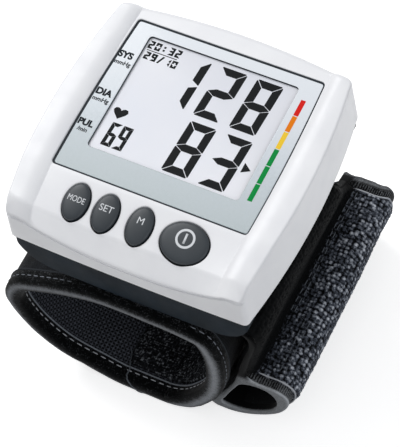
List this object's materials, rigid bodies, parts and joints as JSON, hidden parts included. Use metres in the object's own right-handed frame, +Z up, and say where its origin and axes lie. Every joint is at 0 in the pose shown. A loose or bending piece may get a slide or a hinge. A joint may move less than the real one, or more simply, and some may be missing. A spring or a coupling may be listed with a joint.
{
  "type": "wrist blood pressure monitor",
  "caption": "Flat measuring unit with a large display and a row of push buttons, mounted on a padded wrist cuff that closes with a curled hook-and-loop strap.",
  "frame": {"origin": "on the resting plane under the middle of the case, on the flat foot of the cuff", "axes": "+Z up through the display, +X towards the strap's side, +Y from the buttons towards the rear edge of the case; the wrist passes along Y"},
  "size_m": [0.0818, 0.074, 0.0844],
  "materials": {
    "white_shell": "satin gloss",
    "dark_shell": "satin",
    "button_plastic": "satin",
    "window_panel": "clear panel with a silver print behind it",
    "display_panel": "smooth",
    "frame_plastic": "matte",
    "mat_rubber": "matte",
    "board": "solder mask",
    "steel": "plated",
    "cell_can": "plain sleeve",
    "black_plastic": "matte",
    "hose_rubber": "translucent silicone",
    "cuff_cloth": "smooth woven nylon",
    "binding_tape": "ribbed tape",
    "loop_pile": "coarse loop pile",
    "hook_pad": "fuzzy hook and loop",
    "bladder_film": "soft film"
  },
  "bodies": {
    "root": {"top_shell": "white_shell", "bottom_shell": "dark_shell", "display_window": "window_panel", "display_glass": "display_panel", "display_holder": "frame_plastic", "button_mat": "mat_rubber", "circuit_board": "board", "case_screw_1": "steel", "case_screw_2": "steel", "case_screw_3": "steel", "case_screw_4": "steel", "cuff_plate": "black_plastic", "plate_screw_1": "steel", "plate_screw_2": "steel", "plate_screw_3": "steel", "plate_screw_4": "steel", "battery_cell_1": "cell_can", "battery_cell_2": "cell_can", "battery_spring_1": "steel", "battery_spring_2": "steel", "battery_contact_1": "steel", "battery_contact_2": "steel", "pump_motor": "steel", "pump_head": "black_plastic", "release_valve": "black_plastic", "cuff_port": "black_plastic", "air_manifold": "black_plastic", "pressure_sensor": "steel", "buzzer": "black_plastic", "hose_pump": "hose_rubber", "hose_valve": "hose_rubber", "cuff_sleeve": "cuff_cloth", "cuff_liner": "cuff_cloth", "cuff_stiffener": "black_plastic", "air_bladder": "bladder_film", "cuff_binding_front": "binding_tape", "cuff_binding_rear": "binding_tape", "fastener_patch": "hook_pad", "strap_root": "loop_pile"},
    "mode_button": {"button_mode": "button_plastic"},
    "set_button": {"button_set": "button_plastic"},
    "memory_button": {"button_memory": "button_plastic"},
    "power_button": {"button_power": "button_plastic"},
    "cover": {"battery_cover": "dark_shell"},
    "pump_rotor": {"pump_shaft": "steel"},
    "plunger": {"valve_plunger": "steel"},
    "strap_flap": {"strap": "loop_pile", "strap_binding_front": "binding_tape", "strap_binding_rear": "binding_tape"}
  },
  "joints": [
    {"name": "mode_press", "type": "slide", "parent": "root", "child": "mode_button", "axis": [0, 0.223, -0.9748], "range_m": [0, 0.0006], "stiffness_N_per_m": 1500},
    {"name": "set_press", "type": "slide", "parent": "root", "child": "set_button", "axis": [0, 0.2474, -0.9689], "range_m": [0, 0.0006], "stiffness_N_per_m": 1500},
    {"name": "memory_press", "type": "slide", "parent": "root", "child": "memory_button", "axis": [0, 0.2526, -0.9676], "range_m": [0, 0.0006], "stiffness_N_per_m": 1500},
    {"name": "power_press", "type": "slide", "parent": "root", "child": "power_button", "axis": [0, 0.234, -0.9722], "range_m": [0, 0.0006], "stiffness_N_per_m": 1500},
    {"name": "cover_slide", "type": "slide", "parent": "root", "child": "cover", "axis": [-1, 0, 0], "range_m": [0, 0.012]},
    {"name": "pump_spin", "type": "hinge", "parent": "root", "child": "pump_rotor", "pos_m": [0.014, 0, 0.0649], "axis": [0, 1, 0], "continuous": true},
    {"name": "valve_stroke", "type": "slide", "parent": "root", "child": "plunger", "axis": [0, -1, 0], "range_m": [0, 0.0006], "stiffness_N_per_m": 400},
    {"name": "strap_lift", "type": "hinge", "parent": "root", "child": "strap_flap", "pos_m": [0.032, 0, 0.054], "axis": [0, -1, 0], "range_deg": [0, 40]}
  ]
}
